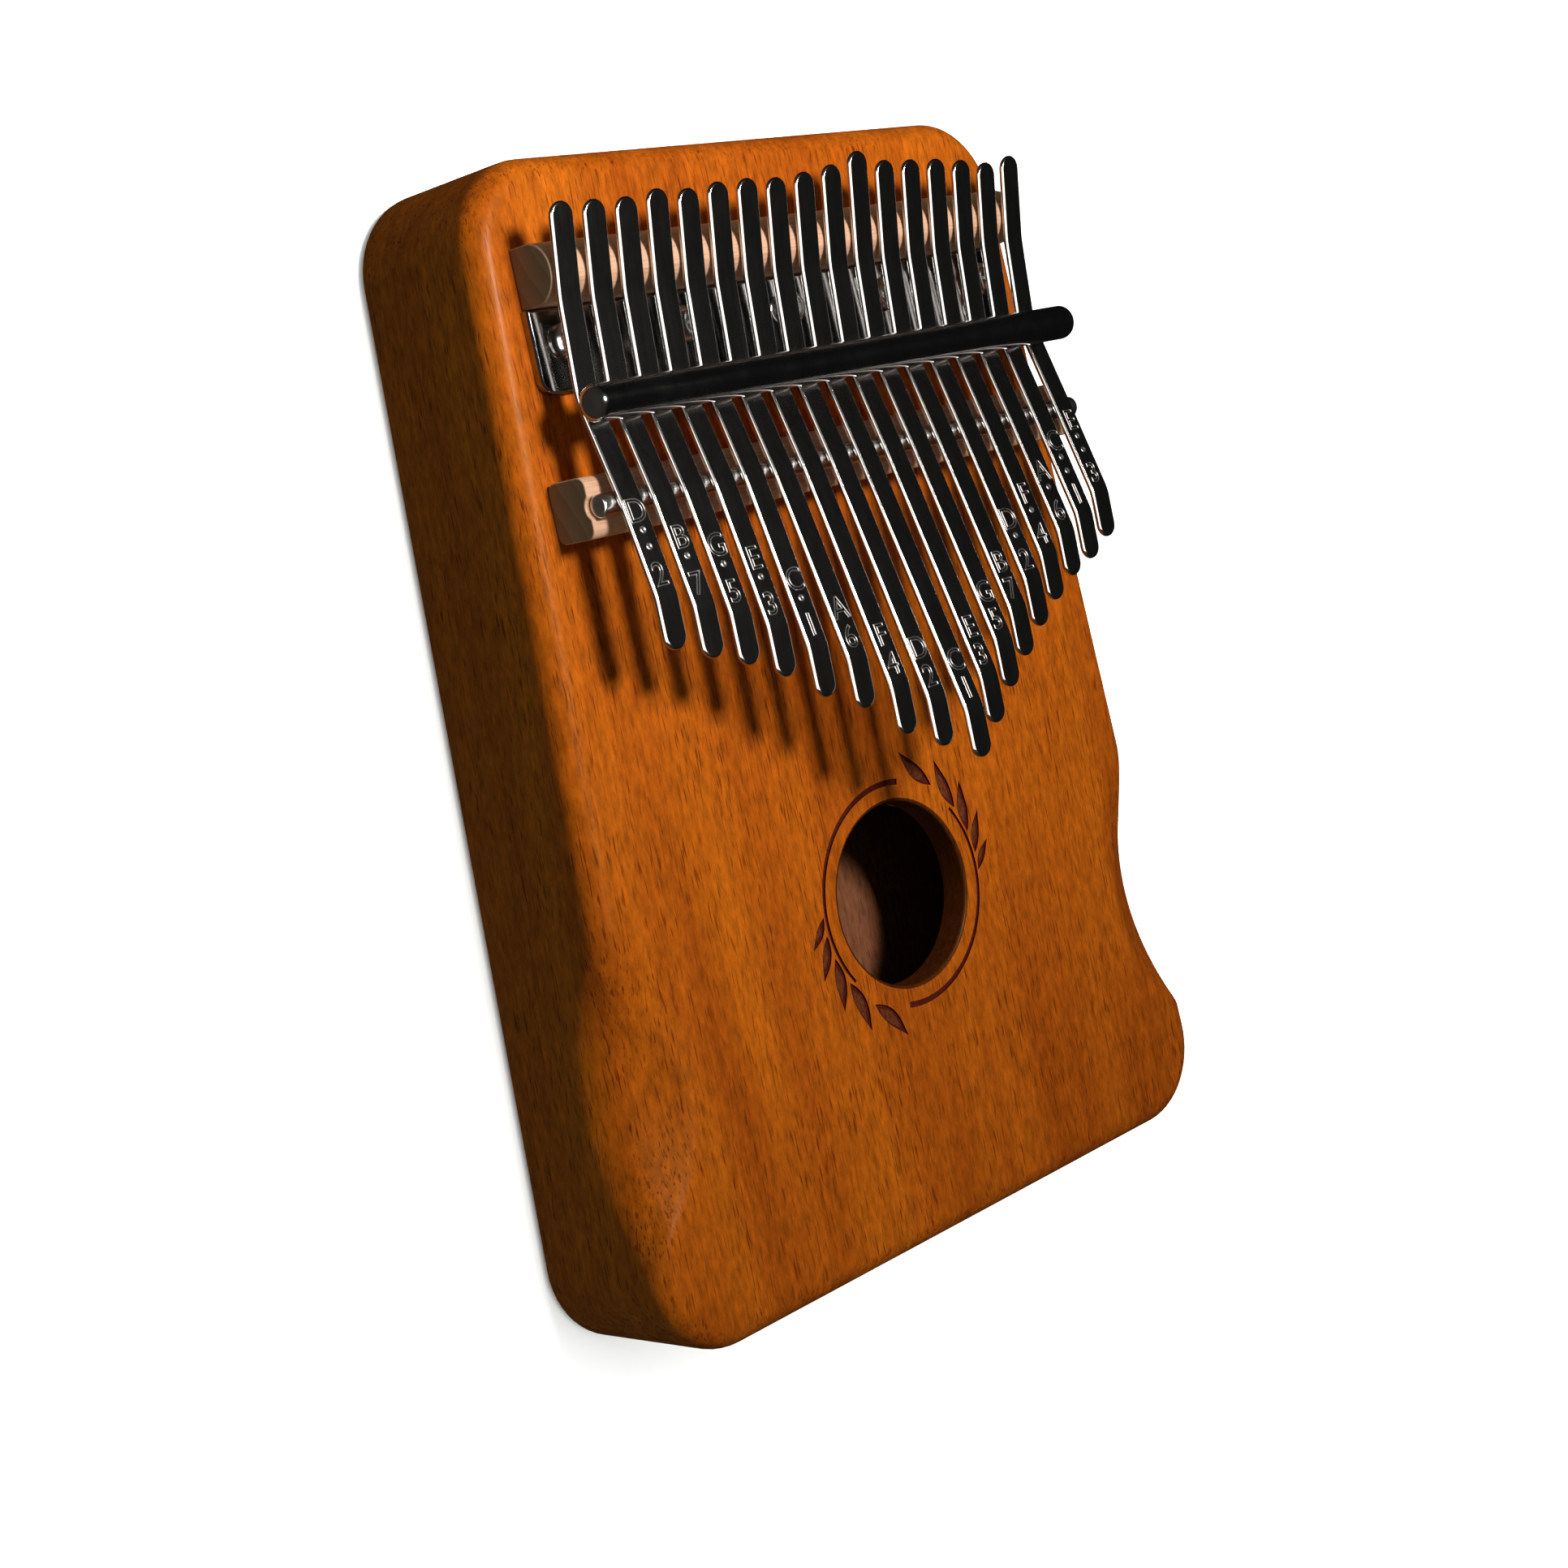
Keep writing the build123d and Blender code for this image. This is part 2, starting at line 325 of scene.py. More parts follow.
def drum_distance(x, y, z):
    """Distance into the drum that cuts the scallop on the point's own side."""
    side = np.sign(x)
    half = width_foot / 2 - (scallop_y + length / 2) * side_slope
    inward = (-side * math.cos(side_angle), -math.sin(side_angle) * np.ones_like(x), 0 * x)
    c, s = math.cos(scallop_tilt), math.sin(scallop_tilt)
    axis = (inward[0] * c, inward[1] * c, inward[2] + s)
    out = (-inward[0] * s, -inward[1] * s, inward[2] + c)
    reach = scallop_radius - scallop_depth
    px = x - side * half - out[0] * reach
    py = y - scallop_y - out[1] * reach
    pz = z - depth - out[2] * reach
    along = px * axis[0] + py * axis[1] + pz * axis[2]
    away = np.sqrt(np.maximum(px * px + py * py + pz * pz - along * along, 0))
    return scallop_radius - away


def body_field(x, y, z, inset):
    """Below zero inside the body. inset is how far the point lies inside the plan."""
    crease = crease_sharp + (crease_soft - crease_sharp) * ease(y, *crease_fades)
    front = round_max(z - depth, drum_distance(x, y, z), crease)
    return round_max(round_max(-inset, front, face_round), -z, back_round)


def spread(section, count):
    """Redraws a section with its points closer together where it turns."""
    steps = np.diff(section, axis=0)
    lengths = np.hypot(steps[:, 0], steps[:, 1])
    turns = np.abs(np.diff(np.unwrap(np.arctan2(steps[:, 1], steps[:, 0]))))
    turns = np.convolve(np.concatenate([[0], turns, [0]]), [0.25, 0.5, 0.25], "valid")
    turns = np.concatenate([turns, [0] * (len(lengths) - len(turns))])
    measure = np.concatenate([[0], np.cumsum(lengths + turn_weight * turns)])
    wanted = np.linspace(0, measure[-1], count)
    return np.stack([np.interp(wanted, measure, section[:, k]) for k in (0, 1)], axis=1)


def make_body_skin():
    """Outer surface of the body: a section at every station, joined into one closed skin."""
    rows = section_points
    stations = body_stations()
    x, y, nx, ny = stations.T
    on_side = np.abs(nx) > math.cos(side_angle) - 1e-6
    along_scallop = ease(y, *shift_starts) * (1 - ease(y, *shift_ends)) * on_side
    pivots = pivot_inset + pivot_shift * along_scallop
    angles = np.radians(np.linspace(-90, 90, probe_count))
    out, up = np.cos(angles)[None, :], np.sin(angles)[None, :]
    near, far = np.zeros((len(x), len(angles))), np.full((len(x), len(angles)), probe_reach)
    for _ in range(probe_halvings):
        middle = (near + far) / 2
        inset = pivots[:, None] - middle * out
        px, py = x[:, None] - nx[:, None] * inset, y[:, None] - ny[:, None] * inset
        inside = body_field(px, py, pivot_height + middle * up, inset) < 0
        near, far = np.where(inside, middle, near), np.where(inside, far, middle)
    points, faces = [], []
    for k in range(len(x)):
        section = np.stack([pivots[k] - near[k] * out[0], pivot_height + near[k] * up[0]], axis=1)
        for inset, z in spread(section, rows):
            points.append((x[k] - nx[k] * inset, y[k] - ny[k] * inset, z))
    count = len(x)
    for k in range(count):
        a, b = k * rows, (k + 1) % count * rows
        faces += [(a + r, b + r, b + r + 1, a + r + 1) for r in range(rows - 1)]
    faces.append(tuple(k * rows for k in range(count - 1, -1, -1)))
    faces.append(tuple(k * rows + rows - 1 for k in range(count)))
    return mesh_from("body", points, faces, [slot_of("lacquer")] * len(faces))


def leaf_cutter(base, direction, leaf_length):
    """Cutter for one engraved leaf: a dark border sunk round a lighter middle."""
    side = Vector((-direction.y, direction.x))
    steps = leaf_steps
    bend = leaf_bend * leaf_length

    def ring(shrink, z):
        made = []
        for k in range(2 * steps):
            half = k if k <= steps else 2 * steps - k
            t = half / steps
            sign = 1 if k <= steps else -1
            wide = leaf_slimness / 2 * leaf_length * math.sin(math.pi * t ** leaf_belly) ** leaf_taper
            width = max(0.0, wide - shrink)
            along = shrink * leaf_inset + (leaf_length - 2 * shrink * leaf_inset) * t
            across = sign * width + bend * math.sin(math.pi * t)
            p = base + direction * along + side * across
            made.append((p.x, p.y, z))
        return made

    count = 2 * steps
    floor = depth - engraved
    points = ring(0, depth + overshoot) + ring(0, floor) + ring(leaf_border, floor)
    faces = [tuple(range(count))]
    indices = [slot_of("burnt_line")]
    for k in range(count):
        j = (k + 1) % count
        faces.append((k, count + k, count + j, j))
        faces.append((count + k, 2 * count + k, 2 * count + j, count + j))
        indices += [slot_of("burnt_line")] * 2
    faces.append(tuple(2 * count + k for k in range(count - 1, -1, -1)))
    indices.append(slot_of("burnt_fill"))
    return points, faces, indices


def join_parts(name, parts):
    """One mesh object from several lists of points, faces and material indices."""
    points, faces, indices = [], [], []
    for part_points, part_faces, part_indices in parts:
        start = len(points)
        points += part_points
        faces += [tuple(start + v for v in face) for face in part_faces]
        indices += part_indices
    made = mesh_from(name, points, faces, indices)
    tidy = bmesh.new()
    tidy.from_mesh(made.data)
    bmesh.ops.remove_doubles(tidy, verts=tidy.verts, dist=1e-7)
    bmesh.ops.recalc_face_normals(tidy, faces=tidy.faces)
    tidy.to_mesh(made.data)
    tidy.free()
    return made


def leaves_cutter():
    """Cutter for the two sprigs, one the other turned half round."""
    parts = []
    for half_turn in (0.0, 180.0):
        for where, lean, leaf_length, start in zip(
                sprig_angles, sprig_leans, sprig_lengths, sprig_starts):
            at = math.radians(where + half_turn)
            heading = at + math.radians(90 - lean)
            base = Vector((math.cos(at), math.sin(at))) * (ring_radius + start)
            direction = Vector((math.cos(heading), math.sin(heading)))
            parts.append(leaf_cutter(base + Vector((0, hole_y)), direction, leaf_length))
    return join_parts("leaves_cutter", parts)


def ring_cutter():
    """Cutter for the two arcs round the hole, each narrowing towards a sprig."""
    parts = []
    steps = ring_steps
    for half_turn in (0.0, 180.0):
        points, faces = [], []
        for k in range(steps + 1):
            t = k / steps
            angle = math.radians(ring_arc[0] + (ring_arc[1] - ring_arc[0]) * t + half_turn)
            width = ring_widths[0] + (ring_widths[1] - ring_widths[0]) * t
            for radius in (ring_radius - width / 2, ring_radius + width / 2):
                for z in (depth - engraved, depth + overshoot):
                    points.append((radius * math.cos(angle), hole_y + radius * math.sin(angle), z))
        for k in range(steps):
            a, b = 4 * k, 4 * k + 4
            faces += [(a, b, b + 1, a + 1), (a + 2, a + 3, b + 3, b + 2),
                      (a, a + 2, b + 2, b), (a + 1, b + 1, b + 3, a + 3)]
        last = 4 * steps
        faces += [(0, 1, 3, 2), (last, last + 2, last + 3, last + 1)]
        parts.append((points, faces, [slot_of("burnt_line")] * len(faces)))
    return join_parts("ring_cutter", parts)


def make_body():
    """Hollow body: lacquered outside, bare wood in the chamber, with a burnt engraving."""
    body = make_body_skin()
    for surface in body_surfaces:
        body.data.materials.append(materials[surface])
    bare = slot_of("bare")
    rebate = prism("rebate", body_outline(plate_land), -overshoot, plate_high.z, bare)
    radii = [corner_radius - wall] * 2 + [chamber_corner] * 2
    chamber = prism("chamber", rounded_polygon(body_corners(wall, chamber_head), radii),
                    plate_high.z - overshoot, depth - soundboard, bare)
    lip = [(hole_radius + hole_lip * (1 - math.cos(a)), depth - hole_lip * (1 - math.sin(a)))
           for a in np.radians(np.linspace(0, 90, 5))]
    lip.append((hole_radius + hole_lip, depth + overshoot))
    hole_wall = [(hole_radius, depth - soundboard - overshoot)] + lip
    # The hole's wall takes the darkened mahogany that paints in the shade inside the hole.
    hole = lathe("hole", (0, hole_y), hole_wall, slot_of("hole_shade"))
    subtract(body, rebate, chamber, hole, ring_cutter(), leaves_cutter())
    shade(body, 32.0)
    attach(body, "root")
    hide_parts("body_shell")
    return body


def make_back_panel():
    """Thin panel let into the back, with its two finger vents, bare on its inner side."""
    panel = prism("back_panel", body_outline(plate_land + plate_gap), plate_low.z, plate_high.z)
    for surface in ("lacquer", "bare"):
        panel.data.materials.append(materials[surface])
    bare = slot_of("bare")
    inner_side = panel.data.polygons[1]
    inner_side.material_index = bare
    mouth = vent_radius + vent_edge
    profile = [(mouth, plate_low.z - overshoot), (mouth, plate_low.z),
               (vent_radius, plate_low.z + vent_edge), (vent_radius, plate_high.z + overshoot)]
    vents = [lathe("vent", (side * vent_x, vent_y), profile, bare, 48) for side in (-1, 1)]
    subtract(panel, *vents)
    soften = panel.modifiers.new("soften", "BEVEL")
    soften.width = plate_edge
    soften.segments = 2
    soften.limit_method = "ANGLE"
    soften.angle_limit = math.radians(60)
    bake_modifiers(panel)
    shade(panel)
    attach(panel, "root")
    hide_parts("back_plate")
    return panel


# --- CAD pieces that stay: eased edges and smooth shading ----------------------------------------
def ease_edges(node, width, segments, angle=40.0):
    """Gives a CAD piece small rounded edges by modifiers, leaving its own mesh as it is."""
    piece = nodes[node]
    if piece.data.has_custom_normals:
        clear_normals(piece)
    shade(piece, 180.0)
    weld = piece.modifiers.new("weld", "WELD")
    weld.merge_threshold = weld_reach
    flats = piece.modifiers.new("flats", "DECIMATE")
    flats.decimate_type = "DISSOLVE"
    flats.angle_limit = math.radians(flat_limit)
    bevel = piece.modifiers.new("ease", "BEVEL")
    bevel.width = width
    bevel.segments = segments
    bevel.limit_method = "ANGLE"
    bevel.angle_limit = math.radians(angle)
    bevel.use_clamp_overlap = False
    normals = piece.modifiers.new("normals", "WEIGHTED_NORMAL")
    normals.keep_sharp = True
    normals.weight = 80


def clear_normals(piece):
    """Drops the imported normals, which no longer fit once the edges are rounded."""
    bpy.context.view_layer.objects.active = piece
    with bpy.context.temp_override(object=piece, active_object=piece):
        bpy.ops.mesh.customdata_custom_splitnormals_clear()


def paint(node, surface):
    """Gives a CAD piece one of the materials."""
    mesh = nodes[node].data
    mesh.materials.clear()
    mesh.materials.append(materials[surface])


def surface_finder(node):
    """Function that gives the height of the top of a CAD piece at a point in plan."""
    tree = BVHTree.FromPolygons([v.co for v in nodes[node].data.vertices],
                                [p.vertices for p in nodes[node].data.polygons])
    return lambda x, y: tree.ray_cast(Vector((x, y, 1.0)), Vector((0, 0, -1)))[0]


def glyph_mesh(text):
    """Raised outline of a letter or digit from the built-in font."""
    curve = bpy.data.curves.new("glyph", "FONT")
    curve.body = text
    curve.align_x = "CENTER"
    curve.size = glyph_height / capital_share
    curve.fill_mode = "NONE"
    curve.bevel_depth = glyph_ridge
    curve.bevel_resolution = 1
    curve.resolution_u = 4
    holder = new_object("glyph", curve)
    graph = bpy.context.evaluated_depsgraph_get()
    graph.update()
    mesh = bpy.data.meshes.new_from_object(holder.evaluated_get(graph))
    bpy.data.objects.remove(holder)
    bpy.data.curves.remove(curve)
    return mesh


def dot_mesh():
    """Low raised dot with a dished top."""
    profile = [(dot_radius, -mark_relief / 2), (dot_radius * 0.9, mark_relief * 0.6),
               (dot_radius * 0.7, mark_relief * 0.9), (dot_radius * 0.45, mark_relief * 0.2)]
    made = lathe("dot", (0, 0), profile, 0, 16)
    mesh = made.data
    bpy.data.objects.remove(made)
    return mesh


def make_mark(number):
    """Raised note letter, octave dots and digit, stacked up one tine from its bend."""
    node = f"tine_{number:02d}"
    low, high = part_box(node)
    x = (low.x + high.x) / 2
    top = surface_finder(node)
    foot, head = (top(x, low.y + tip_flat + past) for past in mark_probes)
    up = (head - foot).normalized()
    right = Vector((1, 0, 0))
    out = right.cross(up)
    combined = bmesh.new()
    place = mark_start - mark_probes[0]
    for mark in reversed(tine_marks[number - 1]):
        mesh = dot_mesh() if mark == "." else glyph_mesh(mark)
        rise = dot_pitch / 2 if mark == "." else 0.0
        at = foot + up * (place + rise)
        turn = Matrix((right, up, out)).transposed().to_4x4()
        mesh.transform(Matrix.Translation(at) @ turn)
        combined.from_mesh(mesh)
        bpy.data.meshes.remove(mesh)
        place += dot_pitch if mark == "." else glyph_height + glyph_gap
    mesh = bpy.data.meshes.new(f"mark_{number:02d}")
    combined.to_mesh(mesh)
    combined.free()
    mesh.materials.clear()
    mesh.materials.append(materials["mark"])
    piece = new_object(mesh.name, mesh)
    shade(piece, 50.0)
    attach(piece, node)
    return piece


# --- Materials -----------------------------------------------------------------------------------
def start_material(name):
    """New node material: its node tree and its main shader."""
    made = bpy.data.materials.new(name)
    made.use_nodes = True
    return made, made.node_tree, made.node_tree.nodes["Principled BSDF"]


def add(tree, kind, inputs=None, **settings):
    """Adds a shader node, sets its properties, and sets or links its inputs."""
    made = tree.nodes.new("ShaderNode" + kind)
    for key, value in settings.items():
        setattr(made, key, value)
    for key, value in (inputs or {}).items():
        if isinstance(value, bpy.types.NodeSocket):
            tree.links.new(value, made.inputs[key])
        else:
            made.inputs[key].default_value = value
    return made


def stretched(tree, scale, turn=(0.0, 0.0, 0.0)):
    """Coordinates of the piece itself, scaled along each axis (features per metre)."""
    place = add(tree, "TexCoord").outputs["Object"]
    return add(tree, "Mapping", {"Vector": place, "Scale": scale, "Rotation": turn}).outputs["Vector"]


def noise(tree, scale, detail=2.0, roughness=0.5, distortion=0.0, turn=(0.0, 0.0, 0.0)):
    """Noise from 0 to 1. scale is in features per metre along each axis."""
    inputs = {"Vector": stretched(tree, scale, turn), "Scale": 1.0, "Detail": detail,
              "Roughness": roughness, "Distortion": distortion}
    return add(tree, "TexNoise", inputs).outputs["Fac"]


def ramp(tree, value, stops):
    """Colour ramp. stops are (position, grey or colour)."""
    made = add(tree, "ValToRGB", {"Fac": value})
    bands = made.color_ramp.elements
    while len(bands) < len(stops):
        bands.new(0.5)
    for band, (position, colour) in zip(bands, stops):
        band.position = position
        band.color = (*colour, 1) if isinstance(colour, tuple) else (colour, colour, colour, 1)
    return made.outputs["Color"]


def blend_colour(tree, amount, first, second, mode="MIX"):
    """Blends two colours. The node's colour sockets have no names of their own, only numbers."""
    made = add(tree, "Mix", data_type="RGBA", blend_type=mode)
    for key, value in ((0, amount), (6, first), (7, second)):
        if isinstance(value, bpy.types.NodeSocket):
            tree.links.new(value, made.inputs[key])
        else:
            made.inputs[key].default_value = (*value, 1) if isinstance(value, tuple) else value
    return made.outputs[2]


def scaled(tree, value, low, high):
    """Maps a value from 0..1 to low..high."""
    return add(tree, "MapRange", {"Value": value, "To Min": low, "To Max": high}).outputs["Result"]


def math_node(tree, operation, a, b):
    """Result of an operation on two values, each a number or a socket."""
    made = add(tree, "Math", operation=operation)
    for key, value in ((0, a), (1, b)):
        if isinstance(value, bpy.types.NodeSocket):
            tree.links.new(value, made.inputs[key])
        else:
            made.inputs[key].default_value = value
    return made.outputs[0]


def add_bump(tree, shader, height, strength, distance):
    """Bumps the shader's surface by a height. distance is in metres."""
    made = add(tree, "Bump", {"Height": height, "Strength": strength, "Distance": distance})
    tree.links.new(made.outputs["Normal"], shader.inputs["Normal"])


def mahogany(tree, tones):
    """Colour and pores of mahogany, its grain along Y: bands, fine streaks, mottle and pores."""
    bands = noise(tree, (90, 7, 90), detail=3.0, roughness=0.55, distortion=0.4)
    colour = ramp(tree, bands, [(0.30, tones["dark"]), (0.50, tones["middle"]),
                                (0.70, tones["light"])])
    streaks = noise(tree, (950, 60, 950), detail=4.0, roughness=0.6, distortion=0.2)
    streaks = ramp(tree, streaks, [(0.28, 0.72), (0.7, 1.15)])
    colour = blend_colour(tree, 0.6, colour, streaks, "MULTIPLY")
    mottle = noise(tree, (900, 300, 900), detail=4.0, roughness=0.7)
    mottle = ramp(tree, mottle, [(0.3, 0.60), (0.7, 1.38)])
    colour = blend_colour(tree, 0.8, colour, mottle, "MULTIPLY")
    pores = noise(tree, (3200, 230, 3200), detail=1.0)
    gathered = noise(tree, (260, 60, 260))
    open_pore = math_node(tree, "MULTIPLY", ramp(tree, pores, [(0.58, 0.0), (0.68, 1.0)]),
                          ramp(tree, gathered, [(0.35, 0.35), (0.58, 1.0)]))
    colour = blend_colour(tree, math_node(tree, "MULTIPLY", open_pore, 0.78), colour, tones["pore"])
    return colour, open_pore


def make_lacquered(name, tones, coat):
    """Mahogany under a thin satin lacquer, whose warm tint the highlights take."""
    made, tree, shader = start_material(name)
    colour, pores = mahogany(tree, tones)
    tree.links.new(colour, shader.inputs["Base Color"])
    rough = scaled(tree, noise(tree, (60, 40, 60), detail=3.0), 0.40, 0.54)
    tree.links.new(rough, shader.inputs["Roughness"])
    shader.inputs["Specular IOR Level"].default_value = 0.25
    shader.inputs["Specular Tint"].default_value = (1.0, 0.60, 0.22, 1.0)
    shader.inputs["Coat Weight"].default_value = coat
    shader.inputs["Coat Roughness"].default_value = 0.26
    ripple = math_node(tree, "MULTIPLY", noise(tree, (700, 30, 700)), 0.25)
    height = math_node(tree, "SUBTRACT", ripple, pores)
    add_bump(tree, shader, height, strength=0.35, distance=0.05 * MM)
    return made


def make_bare_wood(tones):
    """Unfinished mahogany, matt and slightly fuzzy, as inside the chamber."""
    made, tree, shader = start_material("bare_mahogany")
    colour, pores = mahogany(tree, tones)
    tree.links.new(colour, shader.inputs["Base Color"])
    shader.inputs["Roughness"].default_value = 0.75
    shader.inputs["Specular IOR Level"].default_value = 0.2
    fuzz = noise(tree, (2500, 160, 2500), detail=3.0)
    height = math_node(tree, "SUBTRACT", fuzz, pores)
    add_bump(tree, shader, height, strength=0.5, distance=0.08 * MM)
    return made


def make_burnt(name, dark, light, turn):
    """Charred wood with a hatched floor. turn is the hatching's, in radians."""
    made, tree, shader = start_material(name)
    hatch = noise(tree, (4200, 700, 1000), detail=3.0, roughness=0.7, distortion=0.6,
                  turn=(0.0, 0.0, turn))
    char = noise(tree, (1500, 1500, 1500), detail=4.0, roughness=0.65)
    colour = ramp(tree, math_node(tree, "MULTIPLY", math_node(tree, "ADD", hatch, char), 0.5),
                  [(0.38, dark), (0.62, light)])
    tree.links.new(colour, shader.inputs["Base Color"])
    shader.inputs["Roughness"].default_value = 0.7
    shader.inputs["Specular IOR Level"].default_value = 0.1
    add_bump(tree, shader, hatch, strength=0.6, distance=0.08 * MM)
    return made


def make_beech():
    """Pale beech, its grain along X: lines and flecks on the sides, darker rings on the ends, whose
    colour is darkened further as painted shade.
    """
    made, tree, shader = start_material("bare_beech")
    place = stretched(tree, (6.0, 430.0, 430.0), (math.radians(24), 0.0, 0.0))
    wander = add(tree, "TexNoise", {"Vector": place, "Scale": 0.35, "Detail": 2.0})
    rings = add(tree, "TexWave", {"Vector": place, "Scale": 0.22, "Distortion": 5.0, "Detail": 2.0,
                                  "Detail Scale": 0.6}, wave_type="BANDS", bands_direction="Z",
                wave_profile="SAW")
    tone = math_node(tree, "ADD", math_node(tree, "MULTIPLY", rings.outputs["Fac"], 0.6),
                     math_node(tree, "MULTIPLY", wander.outputs["Fac"], 0.4))
    colour = ramp(tree, tone, [(0.15, (0.74, 0.44, 0.285)), (0.55, (0.70, 0.40, 0.255)),
                               (0.9, (0.62, 0.34, 0.21))])
    flecks = noise(tree, (380, 3800, 3800), detail=1.0)
    darker = ramp(tree, flecks, [(0.34, 0.62), (0.5, 1.0)])
    colour = blend_colour(tree, 0.55, colour, darker, "MULTIPLY")
    normal = add(tree, "SeparateXYZ", {"Vector": add(tree, "TexCoord").outputs["Normal"]})
    # Faces turned along X, the bars' ends, get a darker colour: partly end grain, partly painted shade
    # for ends that face away from the light.
    on_end = ramp(tree, math_node(tree, "POWER", normal.outputs["X"], 2.0), [(0.5, 0.0), (0.8, 1.0)])
    shaded_end_grain = ramp(tree, tone, [(0.2, (0.34, 0.215, 0.17)), (0.8, (0.26, 0.165, 0.13))])
    colour = blend_colour(tree, on_end, colour, shaded_end_grain)
    tree.links.new(colour, shader.inputs["Base Color"])
    tree.links.new(scaled(tree, wander.outputs["Fac"], 0.5, 0.68), shader.inputs["Roughness"])
    add_bump(tree, shader, flecks, strength=0.35, distance=0.05 * MM)
    return made


def make_metal(name, colour, rough, grain=(900, 25, 900), bump=0.15, marks=0.35):
    """Polished or ground metal with fine lines along its grain and faint handling marks.

    rough is its lowest and highest roughness, and marks the share of the smudges in it."""
    made, tree, shader = start_material(name)
    smudge = noise(tree, (170, 120, 170), detail=4.0, roughness=0.65, distortion=0.8)
    smudge = ramp(tree, smudge, [(0.42, 0.0), (0.68, 1.0)])
    lines = noise(tree, grain, detail=3.0, roughness=0.6)
    mixed = math_node(tree, "ADD", math_node(tree, "MULTIPLY", smudge, marks),
                      math_node(tree, "MULTIPLY", lines, 1 - marks))
    tree.links.new(scaled(tree, mixed, *rough), shader.inputs["Roughness"])
    shade_of = blend_colour(tree, math_node(tree, "MULTIPLY", mixed, 0.5), colour,
                            tuple(0.72 * c for c in colour))
    tree.links.new(shade_of, shader.inputs["Base Color"])
    shader.inputs["Metallic"].default_value = 1.0
    add_bump(tree, shader, lines, strength=bump, distance=0.01 * MM)
    return made


def make_floor_material():
    """Matt, nearly white paper."""
    made, tree, shader = start_material("pale_floor")
    paper = noise(tree, (9, 9, 9), detail=3.0)
    tree.links.new(ramp(tree, paper, [(0.3, (0.86, 0.86, 0.855)), (0.7, (0.90, 0.90, 0.895))]),
                   shader.inputs["Base Color"])
    shader.inputs["Roughness"].default_value = 0.9
    return made


# Linear colours of the three kinds of mahogany surface, and the tints of the steels.
lacquer_tones = {"light": (0.57, 0.130, 0.0055), "middle": (0.48, 0.100, 0.0045),
                 "dark": (0.39, 0.072, 0.0035), "pore": (0.12, 0.014, 0.0010)}
# Painted shade: the sound hole's wall gets these much darker mahogany tones to stand for the shade
# inside the hole.
hole_shade_tones = {"light": (0.10, 0.024, 0.004), "middle": (0.08, 0.018, 0.003),
               "dark": (0.06, 0.012, 0.002), "pore": (0.03, 0.005, 0.001)}
bare_tones = {"light": (0.26, 0.092, 0.038), "middle": (0.22, 0.076, 0.030),
              "dark": (0.17, 0.056, 0.022), "pore": (0.09, 0.028, 0.012)}
tine_grey = (0.56, 0.55, 0.54)
ground_grey = (0.66, 0.65, 0.64)
grain_across = (25, 900, 900)  # for metal polished along X

materials = {
    "lacquer": make_lacquered("lacquered_mahogany", lacquer_tones, coat=0.06),
    # Mahogany darkened as painted shade, for the wall of the sound hole.
    "hole_shade": make_lacquered("stained_hole_wall", hole_shade_tones, coat=0.05),
    "bare": make_bare_wood(bare_tones),
    "burnt_line": make_burnt("burnt_line", dark=(0.055, 0.006, 0.003),
                             light=(0.11, 0.014, 0.006), turn=0.4),
    "burnt_fill": make_burnt("burnt_fill", dark=(0.07, 0.012, 0.004),
                             light=(0.19, 0.052, 0.015), turn=-0.3),
    "beech": make_beech(),
    "tine": make_metal("polished_tine_steel", tine_grey, rough=(0.12, 0.20), marks=0.15),
    "mark": make_metal("raised_mark_steel", ground_grey, rough=(0.24, 0.36),
                       grain=(2500, 2500, 2500), bump=0.2),
    "bracket": make_metal("mirror_plate", (0.34, 0.34, 0.34), rough=(0.04, 0.12), grain=grain_across),
    "bar": make_metal("pressure_bar_plate", (0.52, 0.52, 0.52), rough=(0.08, 0.22),
                      grain=grain_across),
    "rod": make_metal("ground_rod", ground_grey, rough=(0.18, 0.32), grain=(1600, 200, 200), bump=0.3),
    "screw": make_metal("screw_plate", (0.66, 0.66, 0.66), rough=(0.10, 0.25),
                        grain=(700, 700, 700)),
}

# --- Pieces --------------------------------------------------------------------------------------
make_body()
make_back_panel()
for name in tine_names:
    ease_edges(name, tine_edge, segments=4)
    paint(name, "tine")
for number in range(1, len(tine_names) + 1):
    make_mark(number)
for name, width in (("rear_bar", 0.35 * MM), ("front_bridge", 0.3 * MM)):
    ease_edges(name, width, segments=2, angle=50.0)
    paint(name, "beech")
paint("bridge_rod", "rod")
paint("bracket", "bracket")
paint("bracket_screws", "screw")
paint("pressure_bar", "bar")
paint("pressure_studs", "screw")


# --- Floor, light and camera ---------------------------------------------------------------------
floor_half = 8.0
floor_height = -0.4 * MM

key_tint = (1.0, 0.97, 0.92)
card_tint = (1.0, 0.92, 0.87)
backdrop = (0.93, 0.93, 0.93)

camera_lens = 58.94  # this and the sensor's width are in millimetres, as Blender wants them
camera_sensor = 36.0
camera_place = (-0.30355, 0.03804, 0.32557)
camera_right = (0.69184, -0.20803, 0.69143)
camera_up = (0.23079, 0.97107, 0.06124)
camera_back = (-0.68417, 0.11721, 0.71984)


def make_floor():
    """Pale floor just under the body, seen by the camera but not in reflections or bounced light."""
    corners = [(x * floor_half, y * floor_half, floor_height)
               for x, y in ((-1, -1), (1, -1), (1, 1), (-1, 1))]
    floor = mesh_from("floor", corners, [(0, 1, 2, 3)])
    floor.data.materials.append(make_floor_material())
    floor.visible_diffuse = False
    floor.visible_glossy = False
    return floor


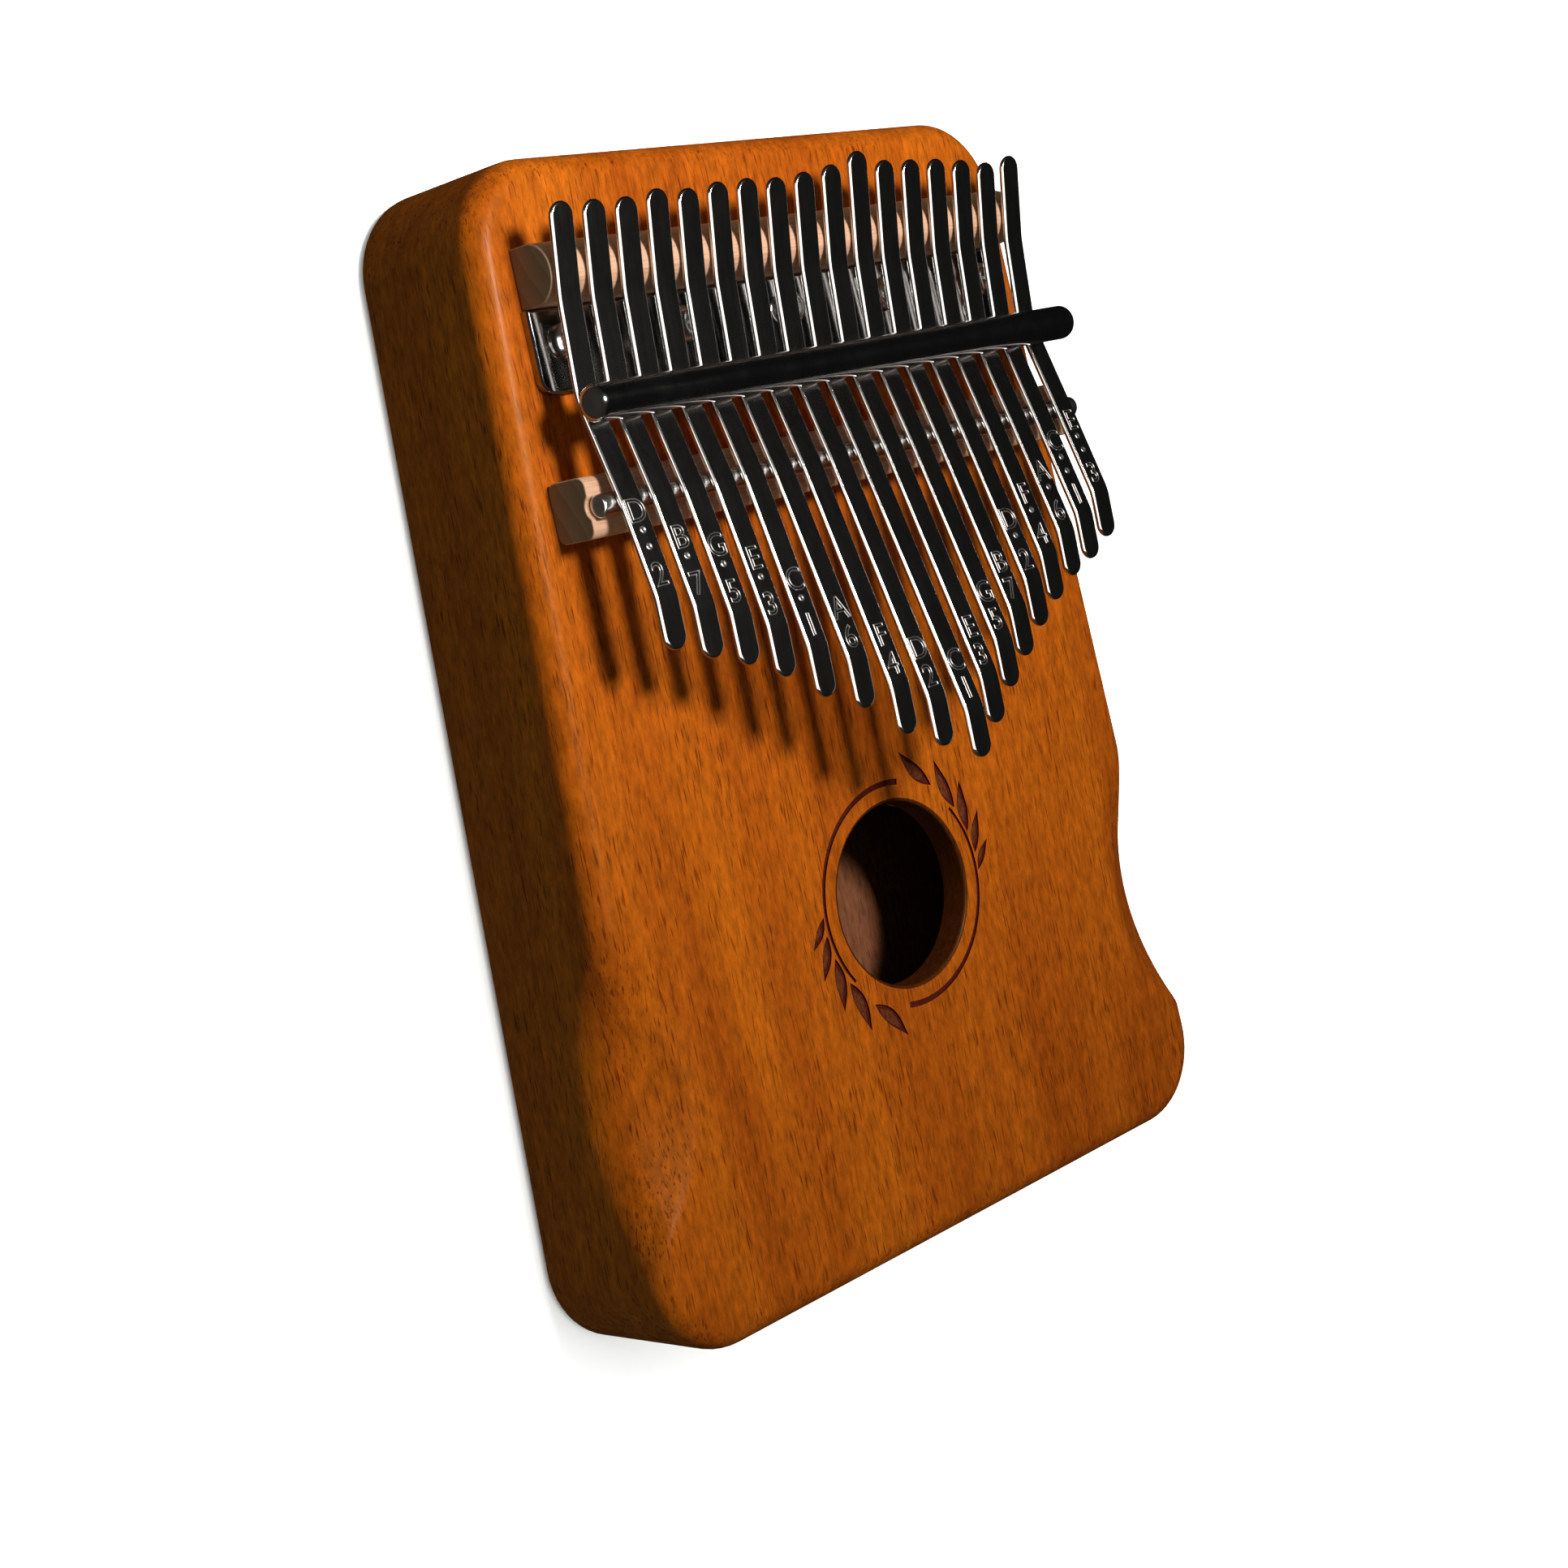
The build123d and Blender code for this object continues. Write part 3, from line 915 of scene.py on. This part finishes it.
def add_lamp(name, place, target, size, power, colour=(1.0, 1.0, 1.0), spread=180.0,
             diffuse=True, only=None):
    """Soft lamp turned towards a target, lighting everything or only what is in a collection.

    size is in metres, power in watts and spread in degrees. With diffuse off, the lamp is only
    seen in reflections."""
    lamp = bpy.data.lights.new(name, "AREA")
    lamp.shape = "RECTANGLE"
    lamp.size, lamp.size_y = size
    lamp.energy = power
    lamp.color = colour
    lamp.spread = math.radians(spread)
    made = new_object(name, lamp)
    made.location = place
    made.rotation_mode = "QUATERNION"
    made.rotation_quaternion = (Vector(target) - Vector(place)).to_track_quat("-Z", "Y")
    made.visible_diffuse = diffuse
    made.visible_camera = False
    made.light_linking.receiver_collection = only
    return made


def gather(name, things):
    """Collection of the things that a lamp lights, where it doesn't light everything."""
    lit = bpy.data.collections.new(name)
    for thing in things:
        lit.objects.link(thing)
    return lit


def shiny_pieces():
    """The tines, their marks, the rod and the screws: what the two cards are reflected in."""
    names = ("tine_", "mark_", "bridge_rod", "bracket_screws")
    return [thing for thing in bpy.context.scene.objects if thing.name.startswith(names)]


def make_world():
    """Dim room: a soft glow for matt surfaces, a darker one to reflect, a pale backdrop to see."""
    world = bpy.data.worlds.new("room")
    world.use_nodes = True
    tree = world.node_tree
    tree.nodes.clear()
    direction = add(tree, "TexCoord").outputs["Generated"]
    parts = add(tree, "SeparateXYZ", {"Vector": direction})
    glow = ramp(tree, math_node(tree, "ADD", math_node(tree, "MULTIPLY", parts.outputs["Z"], 0.5), 0.5),
                [(0.0, (0.17, 0.21, 0.15)), (0.5, (0.135, 0.175, 0.11)), (1.0, (0.06, 0.065, 0.06))])
    sideways = math_node(tree, "ADD", math_node(tree, "MULTIPLY", parts.outputs["X"], 0.5), 0.5)
    room = ramp(tree, sideways, [(0.0, (0.05, 0.045, 0.04)), (0.45, (0.03, 0.027, 0.025)),
                                 (0.62, (0.006, 0.006, 0.006))])
    is_glossy = add(tree, "LightPath").outputs["Is Glossy Ray"]
    colour = blend_colour(tree, is_glossy, glow, room)
    is_camera = add(tree, "LightPath").outputs["Is Camera Ray"]
    colour = blend_colour(tree, is_camera, colour, backdrop)
    shine = add(tree, "Background", {"Color": colour, "Strength": 1.0})
    out = add(tree, "OutputWorld")
    tree.links.new(shine.outputs["Background"], out.inputs["Surface"])
    bpy.context.scene.world = world


def make_camera():
    """Camera on the left of the soundboard, a little towards the head, looking down at it."""
    camera = bpy.data.cameras.new("camera")
    camera.lens = camera_lens
    camera.sensor_width = camera_sensor
    camera.clip_start = 0.01
    made = new_object("camera", camera)
    turn = Matrix((camera_right, camera_up, camera_back)).transposed().to_4x4()
    made.matrix_world = Matrix.Translation(camera_place) @ turn
    bpy.context.scene.camera = made


floor = make_floor()
make_world()
metal = gather("metal", shiny_pieces())
ground = gather("ground", [floor])
add_lamp("key", place=(-0.03, 0.16, 0.52), target=(-0.02, 0.11, 0.03), size=(0.10, 0.10),
         power=0.60, colour=key_tint, spread=80.0)
add_lamp("top_card", place=(-0.16, -0.02, 0.50), target=(-0.02, 0.02, 0.04), size=(0.42, 0.44),
         power=2.0, colour=card_tint, diffuse=False, only=metal)
add_lamp("left_card", place=(-0.50, 0.0, 0.24), target=(0.0, 0.02, 0.04), size=(0.60, 0.36),
         power=2.0, colour=card_tint, diffuse=False, only=metal)
add_lamp("floor_light", place=(0.0, 0.0, 4.0), target=(0.0, 0.0, 0.0), size=(8.0, 8.0),
         power=500.0, only=ground)
make_camera()
bpy.context.scene.view_settings.view_transform = "Standard"
